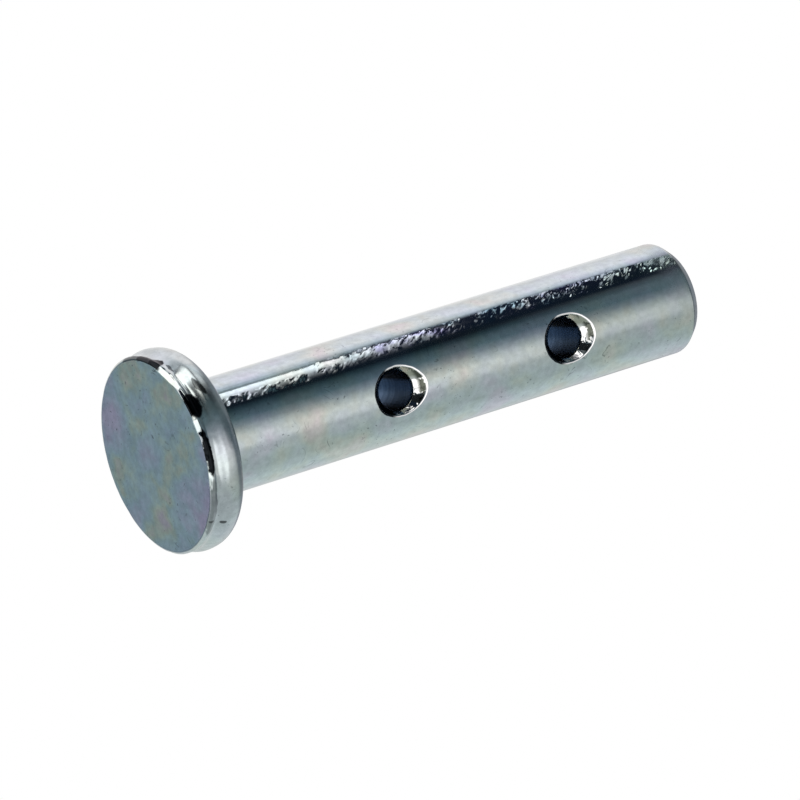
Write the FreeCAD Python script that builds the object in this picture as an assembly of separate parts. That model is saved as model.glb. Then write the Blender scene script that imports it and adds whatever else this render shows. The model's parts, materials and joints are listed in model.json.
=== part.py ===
import FreeCAD
import Part
import math
import os

# Clevis pin with a flat round head and two cross holes. Millimetres.
# The pin stands on its head: Z = 0 is the head's outer face, +Z runs to the tip,
# and both cross holes run along X.

# Shank and tip
SHANK_R = 5.0
TOTAL_LENGTH = 54.0
TIP_CHAMFER_LENGTH = 0.88
TIP_CHAMFER_DEPTH = 0.73
TIP_SHOULDER_ROUND_R = 0.40
TIP_END_ROUND_R = 0.25

# Head, from its rounded face edge over a shallow groove and the rim to the edge of its back face.
# Insets are distances inward from HEAD_R, and drops are distances down from the back face.
HEAD_R = 8.81
HEAD_THICKNESS = 3.5
FACE_INSET = 0.57
LIP_INSET = 0.24
GROOVE_INSET = 0.35
GROOVE_Z = 1.00
RIM_START_INSET = 0.07
RIM_START_Z = 1.40
RIM_Z = 1.80
RIM_END_INSET = 0.08
RIM_END_DROP = 1.05
BACK_EDGE_INSET = 0.34
BACK_EDGE_DROP = 0.42
BACK_FACE_INSET = 0.86
ROOT_FILLET_R = 0.35

# Cross holes, with a countersink at both mouths
HOLE_R = 1.70
HOLE_HEIGHTS = (21.85, TOTAL_LENGTH - 14.30)
SINK_WIDTH = 1.00
SINK_HALF_ANGLE = 45.0
CUTTER_OVERSHOOT = 1.0


def point(radius, height):
    return FreeCAD.Vector(radius, 0.0, height)


def line(start, end):
    return Part.LineSegment(start, end).toShape()


def arc(start, middle, end):
    return Part.Arc(start, middle, end).toShape()


# Half section of the head, from the centre of its outer face to the shank's root
def head_edges():
    def at(inset, height):
        return point(HEAD_R - inset, height)

    face_edge = at(FACE_INSET, 0.0)
    edge_r = FACE_INSET - LIP_INSET
    edge_slack = edge_r * (1 - math.sqrt(0.5))
    face_edge_mid = at(LIP_INSET + edge_slack, edge_slack)
    lip = at(LIP_INSET, edge_r)
    groove = at(GROOVE_INSET, GROOVE_Z)
    rim_start = at(RIM_START_INSET, RIM_START_Z)
    rim = at(0.0, RIM_Z)
    rim_end = at(RIM_END_INSET, HEAD_THICKNESS - RIM_END_DROP)
    back_mid = at(BACK_EDGE_INSET, HEAD_THICKNESS - BACK_EDGE_DROP)
    back_edge = at(BACK_FACE_INSET, HEAD_THICKNESS)
    root = point(SHANK_R + ROOT_FILLET_R, HEAD_THICKNESS)
    return [
        line(point(0.0, 0.0), face_edge),
        arc(face_edge, face_edge_mid, lip),
        arc(lip, groove, rim_start),
        arc(rim_start, rim, rim_end),
        arc(rim_end, back_mid, back_edge),
        line(back_edge, root),
    ]


# Arc that rounds a corner, tangent to the lines on both sides
def rounding(before, corner, after, radius):
    back = (before - corner).normalize()
    forward = (after - corner).normalize()
    half_angle = back.getAngle(forward) / 2
    reach = radius / math.tan(half_angle)
    inward = (back + forward).normalize()
    middle = corner + inward * (radius / math.sin(half_angle) - radius)
    return arc(corner + back * reach, middle, corner + forward * reach)


# Straight lines between the end of one arc and the start of the next
def joined(arcs):
    edges = [arcs[0]]
    for previous, following in zip(arcs, arcs[1:]):
        edges.append(line(previous.lastVertex().Point, following.firstVertex().Point))
        edges.append(following)
    return edges


# Half section of the shank, from its root fillet to the centre of the end face
def shank_edges():
    back_face = point(HEAD_R - BACK_FACE_INSET, HEAD_THICKNESS)
    root = point(SHANK_R, HEAD_THICKNESS)
    shoulder = point(SHANK_R, TOTAL_LENGTH - TIP_CHAMFER_LENGTH)
    tip_end = point(SHANK_R - TIP_CHAMFER_DEPTH, TOTAL_LENGTH)
    tip_centre = point(0.0, TOTAL_LENGTH)
    edges = joined([
        rounding(back_face, root, shoulder, ROOT_FILLET_R),
        rounding(root, shoulder, tip_end, TIP_SHOULDER_ROUND_R),
        rounding(shoulder, tip_end, tip_centre, TIP_END_ROUND_R),
    ])
    return edges + [line(edges[-1].lastVertex().Point, tip_centre)]


# Turned body without holes
def turned_body():
    closing = line(point(0.0, TOTAL_LENGTH), point(0.0, 0.0))
    section = Part.Face(Part.Wire(head_edges() + shank_edges() + [closing]))
    axis = FreeCAD.Vector(0, 0, 1)
    return section.revolve(FreeCAD.Vector(0, 0, 0), axis, 360)


# One cross hole: a bore right through, and a cone at each mouth that widens past the shank's surface
def hole_cutter(height):
    slope = math.tan(math.radians(SINK_HALF_ANGLE))
    sink_depth = SINK_WIDTH / slope
    cone_length = sink_depth + CUTTER_OVERSHOOT
    half_length = SHANK_R + CUTTER_OVERSHOOT
    centre = FreeCAD.Vector(0, 0, height)
    along = FreeCAD.Vector(1, 0, 0)
    cutter = Part.makeCylinder(HOLE_R, 2 * half_length, centre - along * half_length, along)
    for side in (along, along * -1):
        start = centre + side * (SHANK_R - sink_depth)
        cone = Part.makeCone(HOLE_R, HOLE_R + cone_length * slope, cone_length, start, side)
        cutter = cutter.fuse(cone)
    return cutter


def build_pin():
    pin = turned_body()
    for height in HOLE_HEIGHTS:
        pin = pin.cut(hole_cutter(height))
    return pin.removeSplitter()


os.makedirs("parts", exist_ok=True)
clevis_pin = build_pin()
clevis_pin.exportStep("parts/clevis_pin.step")
print("valid", clevis_pin.isValid(), "solids", len(clevis_pin.Solids))
print("volume mm3", round(clevis_pin.Volume, 2), "box", clevis_pin.BoundBox)
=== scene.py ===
import json
import math

import bmesh
import bpy
from mathutils import Matrix, Vector, noise


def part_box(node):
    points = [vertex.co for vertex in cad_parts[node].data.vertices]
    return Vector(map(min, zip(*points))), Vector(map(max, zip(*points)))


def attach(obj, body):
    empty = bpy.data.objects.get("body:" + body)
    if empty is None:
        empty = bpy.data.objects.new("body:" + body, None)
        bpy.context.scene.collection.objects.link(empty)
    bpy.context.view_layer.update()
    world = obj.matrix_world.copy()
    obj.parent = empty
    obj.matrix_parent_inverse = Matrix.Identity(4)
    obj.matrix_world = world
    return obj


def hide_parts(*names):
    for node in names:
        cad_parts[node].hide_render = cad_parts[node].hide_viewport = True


# Clevis pin: one turned and plated piece, standing on its head, seen from below its head's face.
# Lengths are in millimetres in the named values and while the mesh is built, and in metres after that.
MM = 0.001
NODE = "clevis_pin"

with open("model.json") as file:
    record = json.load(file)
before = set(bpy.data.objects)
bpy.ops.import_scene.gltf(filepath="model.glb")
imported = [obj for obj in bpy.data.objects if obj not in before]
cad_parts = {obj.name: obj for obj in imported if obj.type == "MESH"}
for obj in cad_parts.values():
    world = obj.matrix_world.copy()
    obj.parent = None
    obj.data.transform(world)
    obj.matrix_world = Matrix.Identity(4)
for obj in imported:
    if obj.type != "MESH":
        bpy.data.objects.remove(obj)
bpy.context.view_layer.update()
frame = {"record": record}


def mount(name):
    return next(m for m in frame["record"]["mounts"] if m["name"] == name)


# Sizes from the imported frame
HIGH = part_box(NODE)[1]
LENGTH = HIGH.z / MM
HEAD_R = HIGH.x / MM
SHANK_R = mount("shank")["dims"]["r_mm"]
HEAD_THICKNESS = mount("under_head")["pos_m"][2] / MM
HOLE_R = mount("cross_hole_near_head")["dims"]["r_mm"]
HOLE_WALL = mount("cross_hole_near_head")["dims"]["length_mm"]
HOLE_HEIGHTS = [mount(n)["pos_m"][2] / MM for n in ("cross_hole_near_head", "cross_hole_near_tip")]

# Head outline: distances inward from the head's radius, and heights above its face
FACE_INSET = 0.573
LIP_INSET = 0.243
GROOVE_INSET = 0.353
GROOVE_Z = 1.00
RIM_START_INSET = 0.073
RIM_START_Z = 1.40
RIM_TOP_INSET = 0.003
RIM_TOP_Z = 1.80
RIM_END_INSET = 0.083
RIM_END_DROP = 1.05
BACK_EDGE_INSET = 0.343
BACK_EDGE_DROP = 0.42
BACK_FACE_INSET = 0.863
ROOT_FILLET_R = 0.35
TIP_CHAMFER_LENGTH = 0.88
TIP_CHAMFER_DEPTH = 0.73
TIP_SHOULDER_ROUND_R = 0.40
TIP_END_ROUND_R = 0.25
MOUTH_SLOPE = math.tan(math.radians(45.0))
MOUTH_R = HOLE_R + (SHANK_R - HOLE_WALL / 2) * MOUTH_SLOPE
MOUTH_EDGE_ROUND = 0.11

# Mesh density. The flat discs' rings are shares of their radius, and have fewer steps inside COARSE_SHARE.
HEAD_STEPS = 384
SHANK_STEPS = 192
ROW_HEIGHT = 0.26
PATCH_CELLS_ROUND = 38
PATCH_CELLS_UP = 24
PATCH_RINGS = 9
BORE_RINGS = 28
FACE_RINGS = (0.97, 0.93, 0.88, 0.78, 0.62, 0.44, 0.28, 0.14)
TIP_RINGS = (0.96, 0.9, 0.78, 0.6, 0.4, 0.2)
COARSE_SHARE = 0.8
FEWEST_STEPS = 24

# Finishes, as places in the pin's list of materials
SHANK, RIM, FACE, MOUTH_EDGE, MOUTH, BORE = range(6)


# Places round the pin are in degrees from the side that the camera faces, + towards the photograph's top
CAMERA_PLACE = Vector((394.14, -76.87, -218.75)) * MM
CAMERA_SIDE = math.atan2(CAMERA_PLACE.y, CAMERA_PLACE.x)


def direction(degrees_round, degrees_up):
    a, e = math.radians(degrees_round), math.radians(degrees_up)
    return Vector((math.cos(e) * math.cos(a), -math.cos(e) * math.sin(a), math.sin(e)))


# Side of the pin at a number of degrees round, as a direction in the frame
def side_at(degrees_round):
    return Matrix.Rotation(CAMERA_SIDE, 3, "Z") @ direction(degrees_round, 0)


# Points of an arc through three points, as (radius, height)
def arc(start, middle, end, steps):
    a, b, c = Vector(start), Vector(middle), Vector(end)
    d = 2 * (a.x * (b.y - c.y) + b.x * (c.y - a.y) + c.x * (a.y - b.y))
    aa, bb, cc = a.length_squared, b.length_squared, c.length_squared
    centre = Vector(((aa * (b.y - c.y) + bb * (c.y - a.y) + cc * (a.y - b.y)) / d,
                     (aa * (c.x - b.x) + bb * (a.x - c.x) + cc * (b.x - a.x)) / d))
    from_a = a - centre
    turn_to_b = from_a.angle_signed(b - centre)
    turn = from_a.angle_signed(c - centre)
    if turn * turn_to_b < 0:
        turn -= math.copysign(2 * math.pi, turn)
    points = []
    for i in range(1, steps + 1):
        angle = -turn * i / steps
        cosine, sine = math.cos(angle), math.sin(angle)
        points.append((centre.x + from_a.x * cosine - from_a.y * sine,
                       centre.y + from_a.x * sine + from_a.y * cosine))
    return points


# Arc that rounds a corner, tangent to the lines on both sides
def rounding(before, corner, after, radius, steps):
    corner = Vector(corner)
    back = (Vector(before) - corner).normalized()
    forward = (Vector(after) - corner).normalized()
    half_angle = back.angle(forward) / 2
    reach = radius / math.tan(half_angle)
    middle = corner + (back + forward).normalized() * (radius / math.sin(half_angle) - radius)
    start = corner + back * reach
    return [tuple(start)] + arc(start, middle, corner + forward * reach, steps)


def straight(start, end, steps):
    a, b = Vector(start), Vector(end)
    return [tuple(a.lerp(b, i / steps)) for i in range(1, steps + 1)]


# The same points with every corner between the two ends worn a little rounder
def worn_round(points, times):
    for _ in range(times):
        pulled = [tuple((Vector(a) + 2 * Vector(b) + Vector(c)) / 4)
                  for a, b, c in zip(points, points[1:], points[2:])]
        points = [points[0]] + pulled + [points[-1]]
    return points


# Head outline from the edge of its flat face to the edge of its back face
def head_outline():
    def at(inset, height):
        return (HEAD_R - inset, height)

    face_edge = at(FACE_INSET, 0.0)
    edge_r = FACE_INSET - LIP_INSET
    slack = edge_r * (1 - math.sqrt(0.5))
    lip = at(LIP_INSET, edge_r)
    rim_start = at(RIM_START_INSET, RIM_START_Z)
    rim_end = at(RIM_END_INSET, HEAD_THICKNESS - RIM_END_DROP)
    back_edge = at(BACK_FACE_INSET, HEAD_THICKNESS)
    edge = [face_edge] + arc(face_edge, at(LIP_INSET + slack, slack), lip, 8)
    side = edge[-1:] + arc(lip, at(GROOVE_INSET, GROOVE_Z), rim_start, 10)
    side += arc(rim_start, at(RIM_TOP_INSET, RIM_TOP_Z), rim_end, 8)
    back = arc(rim_end, at(BACK_EDGE_INSET, HEAD_THICKNESS - BACK_EDGE_DROP), back_edge, 9)
    return edge[:-1] + worn_round(side, 10) + back


# Shank outlines: the fillet at the head, and the chamfered tip as far as the edge of the end face
def root_and_tip_outlines():
    back_face = (HEAD_R - BACK_FACE_INSET, HEAD_THICKNESS)
    root = (SHANK_R, HEAD_THICKNESS)
    shoulder = (SHANK_R, LENGTH - TIP_CHAMFER_LENGTH)
    tip_end = (SHANK_R - TIP_CHAMFER_DEPTH, LENGTH)
    root_points = rounding(back_face, root, shoulder, ROOT_FILLET_R, 5)
    tip_points = rounding(root, shoulder, tip_end, TIP_SHOULDER_ROUND_R, 4)
    end_points = rounding(shoulder, tip_end, (0.0, LENGTH), TIP_END_ROUND_R, 4)
    tip_points += straight(tip_points[-1], end_points[0], 4) + end_points[1:]
    return root_points, tip_points


# Heights of the shank's rings, in even cells inside each hole's square patch
def shank_heights(low, high):
    half = PATCH_CELLS_UP * ROW_HEIGHT / 2
    stops = [low]
    for height in HOLE_HEIGHTS:
        stops += [height - half, height + half]
    stops.append(high)
    heights = [low]
    for a, b in zip(stops, stops[1:]):
        cells = max(1, round((b - a) / ROW_HEIGHT))
        heights += [a + (b - a) * i / cells for i in range(1, cells + 1)]
    return heights


class PinMesh:
    """Rings of points joined into faces. Each new face gets the current finish."""

    def __init__(self):
        self.bm = bmesh.new()
        self.finish = SHANK

    def ring(self, radius, height, steps, wear=None):
        turn = 2 * math.pi / steps
        ring = []
        for i in range(steps):
            angle = turn * i
            r = radius - wear(angle, radius, height) if wear else radius
            ring.append(self.bm.verts.new((r * math.cos(angle), r * math.sin(angle), height)))
        return ring

    def face(self, *verts):
        face = self.bm.faces.new(verts)
        face.material_index = self.finish

    def join(self, first, second):
        if len(first) == len(second):
            for i in range(len(first)):
                self.face(first[i - 1], first[i], second[i], second[i - 1])
            return
        fine, coarse = (first, second) if len(first) > len(second) else (second, first)
        for i, end in enumerate(coarse):
            start = coarse[i - 1]
            left, middle, right = fine[2 * i - 2], fine[2 * i - 1], fine[2 * i]
            self.face(start, left, middle)
            self.face(start, middle, end)
            self.face(middle, right, end)

    def join_rings(self, rings):
        for first, second in zip(rings, rings[1:]):
            self.join(first, second)

    def cap(self, ring, height):
        centre = self.bm.verts.new((0, 0, height))
        for i in range(len(ring)):
            self.face(ring[i - 1], ring[i], centre)


# Flat disc from a ring inwards, with fewer and fewer steps round
def add_disc(mesh, outer, radius, height, shares):
    ring, steps = outer, len(outer)
    for share in shares:
        if share < COARSE_SHARE and steps > FEWEST_STEPS:
            steps //= 2
        inner = mesh.ring(radius * share, height, steps)
        mesh.join(ring, inner)
        ring = inner
    mesh.cap(ring, height)


# Flats knocked into the lip: degrees round, degrees that the flat leans towards the face, depth, half width
LIP_FLATS = (
    (48, 45, 0.17, 16), (27, 50, 0.03, 6), (9, 45, 0.14, 6), (-5, 45, 0.05, 5), (-22, 50, 0.05, 7),
)
# Depths of the low waves and small chips along the lip, and of the uneven edges of the mouths
LIP_WAVES = 0.12
LIP_CHIPS = 0.07
MOUTH_WAVES = 0.06
MOUTH_NICKS = 0.03


# How far a lip flat cuts in at a place on the head's edge
def flat_depth(place, radius, height, degrees_round, lean, depth, half_width):
    off = place.angle(side_at(degrees_round))
    if off > math.radians(half_width):
        return 0.0
    outward, down = math.cos(math.radians(lean)), math.sin(math.radians(lean))
    edge_r = FACE_INSET - LIP_INSET
    reach = (HEAD_R - FACE_INSET) * outward - edge_r * down + edge_r - depth
    cut = radius - (reach + height * down) / (outward * math.cos(off))
    ends = 1 - (math.degrees(off) / half_width) ** 6
    return max(0.0, cut) * ends


# How far the head's edge is worn or knocked in: low waves, small chips and the flats, deepest on the lip
def head_wear(angle, radius, height):
    fade = max(0.0, 1 - height / RIM_TOP_Z) * min(1.0, 0.35 + height / 0.2)
    place = Vector((math.cos(angle), math.sin(angle), 0.0))
    waves = max(0.0, noise.noise(place * 4.0 + Vector((0, 0, height * 0.4))))
    chips = max(0.0, noise.noise(place * 11.0 + Vector((5, 0, height * 0.8))) - 0.15)
    flats = max(flat_depth(place, radius, height, *flat) for flat in LIP_FLATS)
    return fade * (LIP_WAVES * waves + LIP_CHIPS * chips) + flats


def add_head(mesh):
    outline = head_outline()
    rings = [mesh.ring(r, z, HEAD_STEPS, wear=head_wear) for r, z in outline]
    mesh.finish = RIM
    mesh.join_rings(rings)
    mesh.finish = FACE
    add_disc(mesh, rings[0], outline[0][0], 0.0, FACE_RINGS)
    return rings[-1]


def add_root(mesh, back_ring, root_points):
    back_r = HEAD_R - BACK_FACE_INSET
    middle_r = (back_r + root_points[0][0]) / 2
    rings = [back_ring, mesh.ring(middle_r, HEAD_THICKNESS, SHANK_STEPS)]
    rings += [mesh.ring(r, z, SHANK_STEPS) for r, z in root_points]
    mesh.finish = RIM
    mesh.join_rings(rings)
    return rings[-1]


# Faces of the shank, left open where a hole's patch goes. Returns the last ring and the patches' borders.
def add_shank(mesh, first_ring, heights):
    rings = [first_ring] + [mesh.ring(SHANK_R, z, SHANK_STEPS) for z in heights[1:]]
    half_round = PATCH_CELLS_ROUND // 2
    half_up = PATCH_CELLS_UP * ROW_HEIGHT / 2
    borders = []
    skipped = set()
    for hole_height in HOLE_HEIGHTS:
        low_row = min(range(len(heights)), key=lambda row: abs(heights[row] - hole_height + half_up))
        high_row = low_row + PATCH_CELLS_UP
        for middle in (0, SHANK_STEPS // 2):
            left, right = middle - half_round, middle + half_round
            for row in range(low_row, high_row):
                skipped |= {(row, column % SHANK_STEPS) for column in range(left, right)}
            border = [(row, left) for row in range(low_row, high_row)]
            border += [(high_row, column) for column in range(left, right)]
            border += [(row, right) for row in range(high_row, low_row, -1)]
            border += [(low_row, column) for column in range(right, left, -1)]
            borders.append([rings[row][column % SHANK_STEPS] for row, column in border])
    mesh.finish = SHANK
    for row in range(len(rings) - 1):
        for column in range(SHANK_STEPS):
            if (row, column) not in skipped:
                following = (column + 1) % SHANK_STEPS
                mesh.face(rings[row][column], rings[row][following],
                          rings[row + 1][following], rings[row + 1][column])
    return rings[-1], borders


# Depth coordinate of the shank's surface at a distance from the hole's axis
def shank_surface(reach, angle):
    return math.sqrt(SHANK_R ** 2 - (reach * math.sin(angle)) ** 2)


# Where the mouth's cone meets the shank, as a distance from the hole's axis
def mouth_reach(angle, mouth_r):
    reach = mouth_r
    for _ in range(40):
        target = mouth_r - (SHANK_R - shank_surface(reach, angle)) * MOUTH_SLOPE
        reach = (reach + max(HOLE_R, target)) / 2
    return reach


def bezier(a, b, c, share):
    return a.lerp(b, share).lerp(b.lerp(c, share), share)


# Section of one mouth at one angle, from the shank inwards: (distance from the hole's axis, depth)
def mouth_section(angle, mouth_r):
    reach = mouth_reach(angle, mouth_r)
    corner = Vector((reach, shank_surface(reach, angle)))
    outer_reach = reach + MOUTH_EDGE_ROUND
    outside = Vector((outer_reach, shank_surface(outer_reach, angle)))
    inner = Vector((HOLE_R, HOLE_WALL / 2))
    depth = (inner - corner).length
    inside = corner.lerp(inner, min(0.45, MOUTH_EDGE_ROUND / depth))
    edge = [bezier(outside, corner, inside, i / 4) for i in range(5)]
    cone = [inside.lerp(inner, i / 6) for i in range(1, 7)]
    return edge, cone


class Hole:
    """One cross hole: a patch and a countersink on each side, and the bore between them."""

    def __init__(self, mesh, near_border, far_border, height, seed):
        self.mesh = mesh
        self.height = height
        self.starts = []
        self.angles = []
        self.edges = []
        self.cones = []
        for vert in near_border:
            way_round = SHANK_R * math.atan2(vert.co.y, vert.co.x)
            angle = math.atan2(way_round, vert.co.z - height)
            place = Vector((math.sin(angle), math.cos(angle), seed))
            mouth_r = MOUTH_R - MOUTH_EDGE_ROUND
            mouth_r += MOUTH_WAVES * noise.noise(place * 1.7) + MOUTH_NICKS * noise.noise(place * 6.0)
            edge, cone = mouth_section(angle, mouth_r)
            self.starts.append((way_round, vert.co.z))
            self.angles.append(angle)
            self.edges.append(edge)
            self.cones.append(cone)
        near_end = self.add_mouth(near_border, 1)
        far_end = self.add_mouth(far_border, -1)
        self.add_bore(near_end, far_end)

    def vertex(self, side, reach, depth, angle):
        return self.mesh.bm.verts.new((side * depth, reach * math.sin(angle),
                                       self.height + reach * math.cos(angle)))

    def ring(self, side, points):
        return [self.vertex(side, p.x, p.y, angle) for p, angle in zip(points, self.angles)]

    def patch_ring(self, side, share):
        ring = []
        for (way_round, z), angle, edge in zip(self.starts, self.angles, self.edges):
            reach = edge[0].x
            end_round = SHANK_R * math.asin(reach * math.sin(angle) / SHANK_R)
            end_z = self.height + reach * math.cos(angle)
            turn = (way_round + (end_round - way_round) * share) / SHANK_R
            ring.append(self.mesh.bm.verts.new((side * SHANK_R * math.cos(turn),
                                                SHANK_R * math.sin(turn), z + (end_z - z) * share)))
        return ring

    # The patch's rings lie closer together towards the mouth. Returns the ring where the bore starts.
    def add_mouth(self, border, side):
        shares = [1 - (1 - i / PATCH_RINGS) ** 1.5 for i in range(1, PATCH_RINGS)]
        patch = [border] + [self.patch_ring(side, share) for share in shares]
        edge = [self.ring(side, points) for points in zip(*self.edges)]
        cone = [self.ring(side, points) for points in zip(*self.cones)]
        self.mesh.finish = SHANK
        self.mesh.join_rings(patch + edge[:1])
        self.mesh.finish = MOUTH_EDGE
        self.mesh.join_rings(edge)
        self.mesh.finish = MOUTH
        self.mesh.join_rings(edge[-1:] + cone)
        return cone[-1]

    def add_bore(self, near, far):
        wall = []
        for i in range(1, BORE_RINGS):
            depth = HOLE_WALL * (0.5 - i / BORE_RINGS)
            wall.append([self.vertex(1, HOLE_R, depth, angle) for angle in self.angles])
        self.mesh.finish = BORE
        self.mesh.join_rings([near] + wall + [far])


def add_tip(mesh, last_ring, tip_points):
    rings = [last_ring] + [mesh.ring(r, z, SHANK_STEPS) for r, z in tip_points[1:]]
    mesh.finish = RIM
    mesh.join_rings(rings)
    add_disc(mesh, rings[-1], tip_points[-1][0], LENGTH, TIP_RINGS)


# The far side's border, in the order of the near side's mirror image
def mirrored(near_border, far_border):
    def place(vert):
        return round(vert.co.y, 4), round(vert.co.z, 4)

    far = {place(vert): vert for vert in far_border}
    return [far[place(vert)] for vert in near_border]


def build_pin(materials):
    mesh = PinMesh()
    back_ring = add_head(mesh)
    root_points, tip_points = root_and_tip_outlines()
    shank_start = add_root(mesh, back_ring, root_points)
    heights = shank_heights(root_points[-1][1], tip_points[0][1])
    shank_end, borders = add_shank(mesh, shank_start, heights)
    for i, height in enumerate(HOLE_HEIGHTS):
        near, far = borders[2 * i], borders[2 * i + 1]
        Hole(mesh, near, mirrored(near, far), height, seed=7.0 * i)
    add_tip(mesh, shank_end, tip_points)
    bmesh.ops.recalc_face_normals(mesh.bm, faces=mesh.bm.faces)
    bmesh.ops.scale(mesh.bm, vec=(MM, MM, MM), verts=mesh.bm.verts)
    data = bpy.data.meshes.new("pin_body")
    mesh.bm.to_mesh(data)
    mesh.bm.free()
    data.shade_smooth()
    for material in materials:
        data.materials.append(material)
    pin = bpy.data.objects.new("pin_body", data)
    bpy.context.scene.collection.objects.link(pin)
    return pin


class Nodes:
    """Short calls for building a node tree. A value may be a number, a colour or another node's socket."""

    def __init__(self, tree):
        self.tree = tree
        tree.nodes.clear()

    def add(self, kind, inputs=None, **settings):
        node = self.tree.nodes.new(kind)
        for name, value in settings.items():
            setattr(node, name, value)
        for name, value in (inputs or {}).items():
            self.set(node.inputs[name], value)
        return node

    def set(self, socket, value):
        if isinstance(value, bpy.types.NodeSocket):
            self.tree.links.new(value, socket)
        else:
            socket.default_value = value

    def math(self, operation, *values):
        node = self.add("ShaderNodeMath", operation=operation)
        for socket, value in zip(node.inputs, values):
            self.set(socket, value)
        return node.outputs[0]

    def vector(self, operation, *values, **named):
        inputs = {**dict(enumerate(values)), **named}
        return self.add("ShaderNodeVectorMath", inputs, operation=operation).outputs[0]

    def dot(self, a, b):
        return self.add("ShaderNodeVectorMath", {0: a, 1: b}, operation="DOT_PRODUCT").outputs["Value"]

    def axes(self, vector):
        return self.add("ShaderNodeSeparateXYZ", {"Vector": vector}).outputs

    def mix(self, share, a, b, blend="MIX"):
        node = self.add("ShaderNodeMix", data_type="RGBA", blend_type=blend)
        self.set(node.inputs[0], share)
        self.set(node.inputs[6], a)
        self.set(node.inputs[7], b)
        return node.outputs[2]

    def ramp(self, share, stops, interpolation="LINEAR"):
        node = self.add("ShaderNodeValToRGB")
        self.set(node.inputs[0], share)
        node.color_ramp.interpolation = interpolation
        elements = node.color_ramp.elements
        elements.remove(elements[-1])
        elements[0].position, elements[0].color = stops[0][0], (*stops[0][1], 1)
        for position, colour in stops[1:]:
            elements.new(position).color = (*colour, 1)
        return node.outputs[0]

    # From start at low to end at high, and held outside them
    def between(self, value, low, high, start, end, change="LINEAR"):
        node = self.add("ShaderNodeMapRange", interpolation_type=change)
        for socket, number in zip(node.inputs, (value, low, high, start, end)):
            self.set(socket, number)
        return node.outputs[0]

    # 0 below low and 1 above high, or the other way round, with a soft change between
    def step(self, value, low, high):
        return self.between(value, low, high, 0.0, 1.0, "SMOOTHSTEP")

    # The same, for a pair of lengths in millimetres
    def step_mm(self, value, lengths):
        return self.step(value, *(length * MM for length in lengths))

    # Noise whose spots are about size_mm across: one value from 0 to 1, or as Color three of them
    def noise(self, place, size_mm, detail=2.0, roughness=0.5, distortion=0.0, offset=0.0, output="Fac"):
        shifted = self.vector("ADD", place, (offset * MM,) * 3)
        node = self.add("ShaderNodeTexNoise", {"Vector": shifted, "Scale": 1 / (size_mm * MM),
                                               "Detail": detail, "Roughness": roughness,
                                               "Distortion": distortion})
        return node.outputs[output]

    def bump(self, height, height_mm, before=None):
        node = self.add("ShaderNodeBump", {"Height": height, "Distance": height_mm * MM})
        if before:
            self.set(node.inputs["Normal"], before)
        return node.outputs[0]


# Zinc under a thin clear film that tints it faintly lilac, teal, straw and pink
SHANK_TINTS = (
    (0.30, (0.67, 0.66, 0.75)), (0.40, (0.61, 0.69, 0.74)), (0.50, (0.60, 0.71, 0.71)),
    (0.60, (0.67, 0.72, 0.64)), (0.70, (0.72, 0.68, 0.70)),
)
RIM_TINTS = (
    (0.32, (0.62, 0.67, 0.72)), (0.44, (0.61, 0.70, 0.70)), (0.56, (0.64, 0.71, 0.67)),
    (0.68, (0.68, 0.69, 0.64)),
)
FACE_TINTS = (
    (0.34, (0.66, 0.58, 0.72)), (0.43, (0.60, 0.66, 0.74)), (0.52, (0.51, 0.68, 0.71)),
    (0.59, (0.57, 0.72, 0.65)), (0.64, (0.67, 0.74, 0.55)), (0.72, (0.71, 0.62, 0.67)),
)
# Film over the scuffed stripe, from violet over grey to deep teal
SCUFF_TINTS = (
    (0.36, (0.46, 0.44, 0.74)), (0.46, (0.58, 0.64, 0.72)), (0.54, (0.64, 0.68, 0.68)),
    (0.66, (0.38, 0.60, 0.70)),
)
# Scuffed stripe near the head and near the tip: its middle in degrees round, and the degrees from there up to
# which it is full and where it ends
SCUFF_SIDES = ((30.5, 3, 6), (37, 6.5, 9.5))
# Degrees between its scuffs and the pin's axis, and how far a scuff leans the surface along each axis
SCUFF_DIRECTION = 38
LEAN_NEAR_HEAD = (1.1, 1.1, 0.8, 1)
LEAN_BETWEEN_HOLES = (0.30, 0.30, 0.85, 1)
LEAN_NEAR_TIP = (0.6, 0.6, 2.2, 1)
# Heights between which the stripe shifts to its place near the tip, its scuffs lean as near the tip, its film
# turns greener, the shank's underlit side gets painted shade, and the tip gets satin
SCUFF_SHIFT = (11, 24)
TIP_LEAN = (34, 43)
GREENER = (40, 46)
SIDE_SHADE_HEIGHTS = (26, 52)
SATIN_TIP = (49.5, 52.5)
# Dark marks on the rim, oval, partly wear and nicks and partly painted dark reflection along the lip: degrees
# round, half width in degrees, height, half height, strength
RIM_MARKS = (
    (80, 14, 0.0, 0.26, 0.75), (66, 12, 0.0, 0.50, 0.95), (60, 5, 0.25, 0.72, 1.0),
    (21, 8, 0.48, 0.70, 1.0), (51, 4, 0.86, 0.14, 0.7), (32, 5, 1.64, 0.26, 0.75),
    (28, 3.5, 1.92, 0.20, 0.9), (-7, 14, 0.30, 0.32, 1.0), (-42, 20, 0.28, 0.38, 0.45),
    (-50.5, 1.0, 0.30, 0.22, 0.8), (-52.5, 1.1, 1.38, 0.30, 0.8),
)
RIM_MARKS_RAGGED = 0.45
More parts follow.
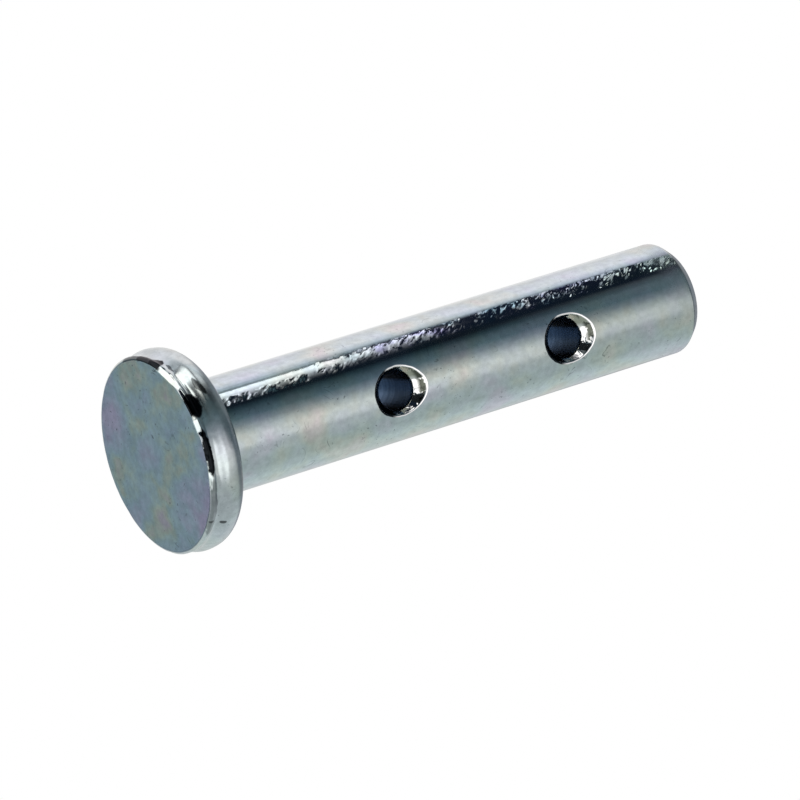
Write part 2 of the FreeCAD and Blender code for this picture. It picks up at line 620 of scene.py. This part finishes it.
# Colours of marks, of painted dark reflection and painted shade, and of metal that is stained, burnished or
# cut
SPECK = (0.08, 0.10, 0.11, 1)
SCRATCH = (0.10, 0.12, 0.12, 1)
DARK_MARK_AND_PAINTED_REFLECTION = (0.012, 0.014, 0.016, 1)
GREEN_FILM = (0.47, 0.61, 0.54, 1)
PAINTED_SIDE_SHADE = (0.20, 0.26, 0.22, 1)
BURNISHED = (0.95, 0.96, 0.95, 1)
MOUTH_EDGE_PAINTED_SHADE = (0.03, 0.035, 0.04, 1)
CUT_METAL = (0.80, 0.81, 0.79, 1)
CUT_PAINTED_TOP_SHADE = (0.42, 0.44, 0.37, 1)
CUT_FLECK = (0.10, 0.11, 0.09, 1)
CUT_PAINTED_HEAD_SIDE_SHADE = (0.01, 0.01, 0.01, 1)
BORE_PAINTED_SHADE = (0.002, 0.003, 0.006, 1)
# Distances from the middle of the nearer hole, between which the mouth's edge loses its painted shade towards
# the tip, and its cone gets darker painted shade towards the head and painted shade towards the photograph's
# top, and gets flecked outwards
EDGE_SHADE_FADE = (-1.2, -0.5)
CONE_HEAD_SIDE_SHADE = (-0.5, -0.9)
CONE_TOP_SHADE = (-0.6, -1.0)
CONE_FLECKED = (1.95, 2.25)
# Distance across the bore by which its lit strip lies off the middle, and the distances from the strip's
# own middle between which the painted shade along the bore's sides gives way to it
BORE_LIT_STRIP_SHIFT = 0.5
BORE_LIT_STRIP = (1.20, 0.85)


class Plating:
    """Tinted zinc. The functions below give each region its own shine, dents and marks."""

    def __init__(self, name):
        self.material = bpy.data.materials.new(name)
        self.material.use_nodes = True
        self.nodes = Nodes(self.material.node_tree)
        self.place = self.nodes.add("ShaderNodeTexCoord").outputs["Object"]
        self.across, self.height = self.nodes.axes(self.place)[1:]

    # 0 below and 1 above a pair of heights, with a soft change between them
    def above(self, heights):
        return self.nodes.step_mm(self.height, heights)

    # Cloudy film colours, with a fine faint mottle
    def tint(self, tints, size_mm, offset=0.0, mottle=0.08):
        n = self.nodes
        cloud = n.noise(self.place, size_mm, detail=3.5, offset=offset)
        colour = n.ramp(cloud, tints, "B_SPLINE")
        grain = n.noise(self.place, 0.6, detail=3.0, roughness=0.6, offset=offset + 1.0)
        shade = n.ramp(grain, ((0.35, (1 - 2 * mottle,) * 3), (0.65, (1, 1, 1))))
        return n.mix(1.0, colour, shade, "MULTIPLY")

    # Angle round from the side at degrees_round, in radians either way
    def angle_from(self, degrees_round):
        n = self.nodes
        outward = n.vector("NORMALIZE", n.vector("MULTIPLY", self.place, (1, 1, 0)))
        return n.math("ARCCOSINE", n.dot(outward, side_at(degrees_round)))

    # 1 on the side at degrees_round, fading out between two angles from it
    def stripe(self, degrees_round, full, none):
        return self.nodes.step(self.angle_from(degrees_round), math.radians(none), math.radians(full))

    # Places squeezed along one direction, so that noise there is drawn out along it
    def squeezed(self, along, times):
        n = self.nodes
        reach = n.dot(self.place, along)
        back = n.vector("SCALE", along, Scale=n.math("MULTIPLY", reach, 1 / times - 1))
        return n.vector("ADD", self.place, back)

    # Surface direction where fine scuffs turn it at random, by about lean along each axis
    def scuffed(self, place, size_mm, lean, share):
        n = self.nodes
        random = n.noise(place, size_mm, distortion=0.5, output="Color")
        turn = n.vector("MULTIPLY", n.vector("SUBTRACT", random, (0.5, 0.5, 0.5)), lean)
        outward = n.add("ShaderNodeNewGeometry").outputs["Normal"]
        return n.vector("NORMALIZE", n.vector("ADD", outward, n.vector("SCALE", turn, Scale=share)))

    # Small dark marks, in loose groups
    def specked(self, colour, size_mm, strength, offset=0.0):
        n = self.nodes
        grains = n.noise(self.place, size_mm, roughness=0.7, offset=offset)
        groups = n.noise(self.place, size_mm * 9, offset=offset + 3.0)
        marks = n.math("MULTIPLY", n.step(grains, 0.64, 0.73), n.step(groups, 0.45, 0.60))
        return n.mix(n.math("MULTIPLY", marks, strength), colour, SPECK)

    # Fine dark scratches, in short curved pieces
    def scratched(self, colour, strength, offset=0.0):
        n = self.nodes
        curves = n.noise(self.place, 2.2, detail=1.0, distortion=1.2, offset=offset)
        lines = n.step(n.math("ABSOLUTE", n.math("SUBTRACT", curves, 0.5)), 0.016, 0.004)
        pieces = n.step(n.noise(self.place, 1.1, offset=offset + 5.0), 0.54, 0.62)
        groups = n.step(n.noise(self.place, 6.0, offset=offset + 8.0), 0.48, 0.60)
        curved_pieces = n.math("MULTIPLY", lines, pieces)
        scratches = n.math("MULTIPLY", curved_pieces, n.math("MULTIPLY", groups, strength))
        return n.mix(scratches, colour, SCRATCH)

    def finish(self, colour, roughness, normal=None):
        n = self.nodes
        shader = n.add("ShaderNodeBsdfPrincipled", {"Base Color": colour, "Metallic": 1.0,
                                                    "Roughness": roughness})
        if normal:
            n.set(shader.inputs["Normal"], normal)
        n.add("ShaderNodeOutputMaterial", {"Surface": shader.outputs[0]})
        return self.material

    # Roughness that drifts between two values, in clouds about size_mm across
    def uneven(self, low, high, size_mm):
        cloud = self.nodes.noise(self.place, size_mm, detail=3.0, offset=11.0)
        return self.nodes.between(cloud, 0.35, 0.65, low, high)


# The shank is scuffed along one stripe, whose film has deeper colours towards the tip
def shank_plating():
    p = Plating("plated_shank")
    n = p.nodes
    stretched = n.add("ShaderNodeMapping", {"Vector": p.place, "Scale": (1, 1, 0.6)}).outputs[0]
    near_head, near_tip = (p.stripe(*side) for side in SCUFF_SIDES)
    shift = p.above(SCUFF_SHIFT)
    scuffs = n.add("ShaderNodeMix", {0: shift, 2: near_head, 3: near_tip}).outputs[0]
    groups = n.step(n.noise(stretched, 0.9, roughness=0.6, offset=9.0), 0.36, 0.52)
    lean = n.mix(shift, LEAN_NEAR_HEAD, LEAN_BETWEEN_HOLES)
    lean = n.mix(p.above(TIP_LEAN), lean, LEAN_NEAR_TIP)
    off_axis = math.radians(SCUFF_DIRECTION)
    sideways = side_at(SCUFF_SIDES[0][0] + 90)
    along = Vector((0, 0, math.cos(off_axis))) + sideways * math.sin(off_axis)
    normal = p.scuffed(p.squeezed(along, 3.0), 0.3, lean, n.math("MULTIPLY", groups, scuffs))
    waves = n.noise(stretched, 2.4, detail=1.0, offset=5.0)
    film = n.ramp(n.noise(stretched, 1.8, detail=3.0, offset=30.0), SCUFF_TINTS, "B_SPLINE")
    film = n.mix(n.math("MULTIPLY", p.above(GREENER), 0.7), film, GREEN_FILM)
    colour = n.mix(n.math("MULTIPLY", scuffs, shift), p.tint(SHANK_TINTS, 5.0), film)
    # Painted shade on the shank's underlit side, deeper towards the tip
    side_shade = n.math("MULTIPLY", p.stripe(-8, 8, 34), p.above(SIDE_SHADE_HEIGHTS))
    colour = n.mix(n.math("MULTIPLY", side_shade, 0.28), colour, PAINTED_SIDE_SHADE)
    colour = p.scratched(p.specked(colour, 0.4, 0.6), 0.5, offset=60.0)
    roughness = n.math("ADD", p.uneven(0.06, 0.10, 3.0), n.math("MULTIPLY", p.above(SATIN_TIP), 0.24))
    return p.finish(colour, roughness, n.bump(waves, 0.010, normal))


# The lip is polished and marked, partly with painted dark reflection, and the rest of the rim is satin
def rim_plating():
    p = Plating("plated_rim")
    n = p.nodes
    ragged = n.math("SUBTRACT", n.noise(p.place, 0.6, detail=3.0, roughness=0.6, offset=3.0), 0.5)
    ragged_height = n.math("ADD", p.height, n.math("MULTIPLY", ragged, RIM_MARKS_RAGGED * MM))
    marked = 0.0
    for degrees_round, half_width, middle, half_height, strength in RIM_MARKS:
        across = n.math("DIVIDE", p.angle_from(degrees_round), math.radians(half_width))
        up = n.math("DIVIDE", n.math("SUBTRACT", ragged_height, middle * MM), half_height * MM)
        squared = n.math("ADD", n.math("MULTIPLY", across, across), n.math("MULTIPLY", up, up))
        marked = n.math("MAXIMUM", marked, n.math("MULTIPLY", n.step(squared, 1.2, 0.8), strength))
    colour = p.specked(p.tint(RIM_TINTS, 5.0, offset=20.0), 0.4, 0.5, offset=2.0)
    # Dark marks: partly wear and nicks, partly painted dark reflection on the lip
    colour = n.mix(marked, colour, DARK_MARK_AND_PAINTED_REFLECTION)
    satin = n.between(p.height, 0.6 * MM, 1.4 * MM, 0.10, 0.23)
    return p.finish(colour, satin, n.bump(n.noise(p.place, 1.6), 0.012))


def face_plating():
    p = Plating("plated_face")
    n = p.nodes
    dents = n.noise(p.place, 0.6, detail=4.0, roughness=0.65)
    colour = p.specked(p.tint(FACE_TINTS, 4.8, offset=40.0, mottle=0.09), 0.32, 0.8, offset=7.0)
    colour = p.scratched(colour, 0.7, offset=70.0)
    return p.finish(colour, p.uneven(0.28, 0.34, 2.0), n.bump(dents, 0.03))


# Height above the middle of the nearer hole
def above_hole(p):
    n = p.nodes
    low, high = (z * MM for z in HOLE_HEIGHTS)
    nearer_tip = n.math("GREATER_THAN", p.height, (low + high) / 2)
    return n.math("SUBTRACT", p.height, n.math("ADD", low, n.math("MULTIPLY", nearer_tip, high - low)))


# Burnished bright, with painted shade on the side towards the head
def mouth_edge_plating():
    p = Plating("burnished_mouth_edge_painted_shade")
    n = p.nodes
    # Painted shade on the edge's side towards the head
    colour = n.mix(n.step_mm(above_hole(p), EDGE_SHADE_FADE), MOUTH_EDGE_PAINTED_SHADE, BURNISHED)
    return p.finish(colour, p.uneven(0.08, 0.12, 0.8))


# Cut by the countersink, with painted shade towards the top of the photograph and darker painted shade
# towards the head, and flecked
def mouth_plating():
    p = Plating("cut_mouth")
    n = p.nodes
    above = above_hole(p)
    # Painted shade towards the photograph's top
    colour = n.mix(n.step_mm(p.across, CONE_TOP_SHADE), CUT_METAL, CUT_PAINTED_TOP_SHADE)
    squared = n.math("ADD", n.math("MULTIPLY", p.across, p.across), n.math("MULTIPLY", above, above))
    outer = n.step_mm(n.math("SQRT", squared), CONE_FLECKED)
    flecks = n.step(n.noise(p.place, 0.7, detail=3.0, roughness=0.6, offset=12.0), 0.44, 0.52)
    colour = n.mix(n.math("MULTIPLY", outer, flecks), colour, CUT_FLECK)
    # Painted shade on the cone's side towards the head
    colour = n.mix(n.step_mm(above, CONE_HEAD_SIDE_SHADE), colour, CUT_PAINTED_HEAD_SIDE_SHADE)
    chatter = n.noise(p.place, 0.6, detail=1.0, distortion=0.8)
    return p.finish(colour, p.uneven(0.06, 0.10, 1.0), n.bump(chatter, 0.04))


# Tool rings round the bore, and painted shade along its sides, except for a lit strip
def bore_plating():
    p = Plating("drilled_bore")
    n = p.nodes
    along = n.add("ShaderNodeMapping", {"Vector": p.place, "Scale": (1, 0.12, 0.12)}).outputs[0]
    rings = n.noise(along, 0.3, detail=3.0, roughness=0.6)
    colour = n.ramp(rings, ((0.35, (0.07, 0.14, 0.24)), (0.65, (0.15, 0.25, 0.39))))
    off_middle = n.math("ABSOLUTE", n.math("SUBTRACT", p.across, BORE_LIT_STRIP_SHIFT * MM))
    # Painted shade along the bore's sides, with a lit strip left
    colour = n.mix(n.step_mm(off_middle, BORE_LIT_STRIP), BORE_PAINTED_SHADE, colour)
    return p.finish(colour, p.uneven(0.42, 0.48, 1.0), n.bump(rings, 0.006))


# Camera, from the direction, roll and distance at which the photograph shows the pin
CAMERA_FORWARD = Vector((-0.838914, 0.167191, 0.517948))
CAMERA_UP = Vector((-0.034365, -0.966021, 0.256167))
FOCAL_PIXELS = 5483.4
FRAME_PIXELS = 800
SENSOR_MM = 36.0


def add_camera():
    camera = bpy.data.cameras.new("camera")
    camera.sensor_width = SENSOR_MM
    camera.lens = FOCAL_PIXELS * SENSOR_MM / FRAME_PIXELS
    camera.clip_start = 0.01
    camera.clip_end = 10.0
    holder = bpy.data.objects.new("camera", camera)
    back = -CAMERA_FORWARD.normalized()
    right = CAMERA_UP.cross(back).normalized()
    up = back.cross(right)
    turn = Matrix((right, up, back)).transposed()
    holder.matrix_world = Matrix.Translation(CAMERA_PLACE) @ turn.to_4x4()
    bpy.context.scene.collection.objects.link(holder)
    bpy.context.scene.camera = holder


# Studio that the metal reflects. Bands run round the pin's axis: degrees round, and the light's colour.
STUDIO_BANDS = (
    (-180, (0.76, 0.77, 0.78)), (-172, (0.64, 0.65, 0.65)), (-148, (0.70, 0.72, 0.72)),
    (-118, (0.67, 0.72, 0.72)), (-88, (0.49, 0.53, 0.52)), (-70, (0.49, 0.53, 0.52)),
    (-44, (0.60, 0.60, 0.61)), (-32, (0.88, 0.84, 0.85)), (-18, (0.90, 0.86, 0.85)),
    (-6, (0.60, 0.60, 0.61)), (8, (0.27, 0.30, 0.34)), (20, (0.11, 0.16, 0.19)),
    (40, (0.027, 0.050, 0.064)), (48, (0.006, 0.012, 0.020)), (87, (0.010, 0.013, 0.028)),
    (91, (0.24, 0.27, 0.32)), (97, (0.76, 0.77, 0.86)), (110, (1.12, 1.04, 1.11)),
    (144, (0.90, 0.85, 0.88)), (174, (1.00, 0.98, 0.98)), (180, (0.76, 0.77, 0.78)),
)
# Soft patches: degrees round, degrees above the horizon, inner and outer radius in degrees, colour
STUDIO_PATCHES = (
    (0, 90, 26, 48, (0.18, 0.20, 0.23)),
    (12, 58, 12, 24, (0.09, 0.12, 0.14)),
    (-176, 54, 16, 26, (0.28, 0.29, 0.33)),
    (180, -70, 14, 26, (1.23, 1.2, 1.2)),
    (-24, -5, 12, 26, (1.44, 1.4, 1.4)),
    (-40, -55, 10, 20, (1.63, 1.6, 1.6)),
    (40, -36, 12, 22, (0.010, 0.012, 0.014)),
    (20, -64, 7, 13, (1.63, 1.6, 1.6)),
    (100, -38, 12, 22, (1.75, 1.7, 1.7)),
    (57, -2, 6, 12, (1.85, 1.8, 1.8)),
    (180, -31, 14, 28, (0.235, 0.285, 0.345)),
)
# Plain light that the floor gets from the world instead
FLOOR_LIGHT = 0.5


def add_world():
    world = bpy.data.worlds.new("studio")
    world.use_nodes = True
    bpy.context.scene.world = world
    n = Nodes(world.node_tree)
    outward = n.add("ShaderNodeTexCoord").outputs["Generated"]
    turned = n.add("ShaderNodeVectorRotate", {"Vector": outward, "Angle": -CAMERA_SIDE},
                   rotation_type="Z_AXIS").outputs[0]
    forward, across = n.axes(turned)[:2]
    angle = n.math("ARCTAN2", n.math("MULTIPLY", across, -1.0), forward)
    share = n.math("ADD", n.math("DIVIDE", angle, 2 * math.pi), 0.5)
    studio = n.ramp(share, [(0.5 + degrees / 360, colour) for degrees, colour in STUDIO_BANDS])
    for degrees_round, degrees_up, inner, outer, colour in STUDIO_PATCHES:
        near = n.dot(turned, direction(degrees_round, degrees_up))
        inside = n.step(near, math.cos(math.radians(outer)), math.cos(math.radians(inner)))
        studio = n.mix(inside, studio, (*colour, 1))
    path = n.add("ShaderNodeLightPath").outputs
    white = n.add("ShaderNodeBackground", {"Color": (1, 1, 1, 1), "Strength": 1.0})
    soft = n.add("ShaderNodeBackground", {"Color": (1, 1, 1, 1), "Strength": FLOOR_LIGHT})
    mirrored_studio = n.add("ShaderNodeBackground", {"Color": studio, "Strength": 1.0})
    seen = n.add("ShaderNodeMixShader", {0: path["Is Glossy Ray"], 1: soft.outputs[0],
                                         2: mirrored_studio.outputs[0]})
    shown = n.add("ShaderNodeMixShader", {0: path["Is Camera Ray"], 1: seen.outputs[0],
                                          2: white.outputs[0]})
    n.add("ShaderNodeOutputWorld", {"Surface": shown.outputs[0]})


def stage_object(name, bm, material):
    data = bpy.data.meshes.new(name)
    bm.to_mesh(data)
    bm.free()
    data.materials.append(material)
    thing = bpy.data.objects.new(name, data)
    bpy.context.scene.collection.objects.link(thing)
    return thing


FLOOR_HALF_WIDTH_M = 2.0
FLOOR_GAP = 0.05


# Pale floor under the head. It shows only to the camera from above, and hides nothing from below.
def add_floor():
    material = bpy.data.materials.new("pale_floor")
    material.use_nodes = True
    n = Nodes(material.node_tree)
    camera_ray = n.add("ShaderNodeLightPath").outputs["Is Camera Ray"]
    backfacing = n.add("ShaderNodeNewGeometry").outputs["Backfacing"]
    shown = n.math("MULTIPLY", camera_ray, n.math("SUBTRACT", 1.0, backfacing))
    paint = n.add("ShaderNodeBsdfDiffuse", {"Color": (0.86, 0.86, 0.86, 1)})
    clear = n.add("ShaderNodeBsdfTransparent")
    mix = n.add("ShaderNodeMixShader", {0: shown, 1: clear.outputs[0], 2: paint.outputs[0]})
    n.add("ShaderNodeOutputMaterial", {"Surface": mix.outputs[0]})
    bm = bmesh.new()
    bmesh.ops.create_grid(bm, x_segments=1, y_segments=1, size=FLOOR_HALF_WIDTH_M)
    bmesh.ops.translate(bm, vec=(0, 0, -FLOOR_GAP * MM), verts=bm.verts)
    stage_object("floor", bm, material)


COOL_LIGHT = (0.90, 1.0, 1.02)
NEUTRAL_LIGHT = (1.02, 1.0, 1.02)
ROSY_LIGHT = (1.02, 1.0, 1.03)
SHARP_EDGE = 0.01


# Clear panel of light beside the pin, seen only in the metal, with its lengths in millimetres. It changes
# from strength at full_z to faint at its top. It grows from nothing over soften at the side with fewer
# degrees round, and over soften_far at the other side.
def add_card(name, degrees_round, distance, width, low, full_z, high, strength, faint=0.0,
             soften=SHARP_EDGE, soften_far=SHARP_EDGE, colour=COOL_LIGHT):
    outward = side_at(degrees_round)
    sideways = outward.cross(Vector((0, 0, 1)))
    material = bpy.data.materials.new(name)
    material.use_nodes = True
    n = Nodes(material.node_tree)
    place = n.add("ShaderNodeTexCoord").outputs["Object"]
    height = n.axes(place)[2]
    across = n.dot(place, sideways)
    half = width / 2
    upward = n.between(height, full_z * MM, high * MM, strength, faint, "SMOOTHSTEP")
    growing = n.between(across, -half * MM, (soften - half) * MM, 0.0, 1.0)
    light = n.math("MULTIPLY", upward, n.math("POWER", growing, 2.0))
    light = n.math("MULTIPLY", light, n.step(across, half * MM, (half - soften_far) * MM))
    glow = n.add("ShaderNodeEmission", {"Color": (*colour, 1), "Strength": light})
    clear = n.add("ShaderNodeBsdfTransparent")
    both = n.add("ShaderNodeAddShader", {0: glow.outputs[0], 1: clear.outputs[0]})
    n.add("ShaderNodeOutputMaterial", {"Surface": both.outputs[0]})
    bm = bmesh.new()
    corners = ((-half, low), (half, low), (half, high), (-half, high))
    bm.faces.new([bm.verts.new((outward * distance + sideways * side + Vector((0, 0, z))) * MM)
                  for side, z in corners])
    card = stage_object(name, bm, material)
    card.visible_camera = False
    card.visible_diffuse = False
    card.visible_shadow = False


# Lamp that lights the floor, with its places and width in metres and its power in watts
LAMP_PLACE = Vector((0.25, -0.2, 0.6))
LAMP_AIM = Vector((0, 0, 0.02))
LAMP_WIDTH = 0.5
LAMP_POWER = 3.0


def add_lamp():
    data = bpy.data.lights.new("soft_lamp", "AREA")
    data.shape = "DISK"
    data.size = LAMP_WIDTH
    data.energy = LAMP_POWER
    lamp = bpy.data.objects.new("soft_lamp", data)
    lamp.location = LAMP_PLACE
    lamp.rotation_euler = (LAMP_AIM - LAMP_PLACE).to_track_quat("-Z", "Y").to_euler()
    lamp.visible_glossy = False
    bpy.context.scene.collection.objects.link(lamp)


bpy.context.scene.view_settings.view_transform = "Standard"
pin = build_pin([shank_plating(), rim_plating(), face_plating(), mouth_edge_plating(), mouth_plating(),
                 bore_plating()])
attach(pin, "root")
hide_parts(NODE)
add_camera()
add_world()
add_floor()
add_card("upper_strip", 66, 60, 32, low=36.5, full_z=47, high=67, strength=1.5,
         soften=25, colour=ROSY_LIGHT)
add_card("side_strip", 82, 33, 6, low=18.5, full_z=26, high=42, strength=0.27)
add_card("lower_strip", 56.5, 15, 4, low=-6, full_z=4, high=5, strength=1.7, faint=1.7,
         colour=NEUTRAL_LIGHT)
add_card("middle_fill", 24, 60, 30, low=45, full_z=46, high=105, strength=0.0, faint=0.05,
         soften=15, soften_far=8)
add_card("rim_fill", 51, 60, 22, low=18, full_z=19, high=34, strength=0.17, faint=0.17)
add_card("tip_side", 34, 30, 18, low=42, full_z=43, high=74, strength=0.0, faint=0.07,
         soften=9, soften_far=5)
add_card("tip_fill", 66, 30, 24, low=63, full_z=64, high=74, strength=0.0, faint=0.14, soften=24)
add_lamp()

bpy.context.view_layer.update()
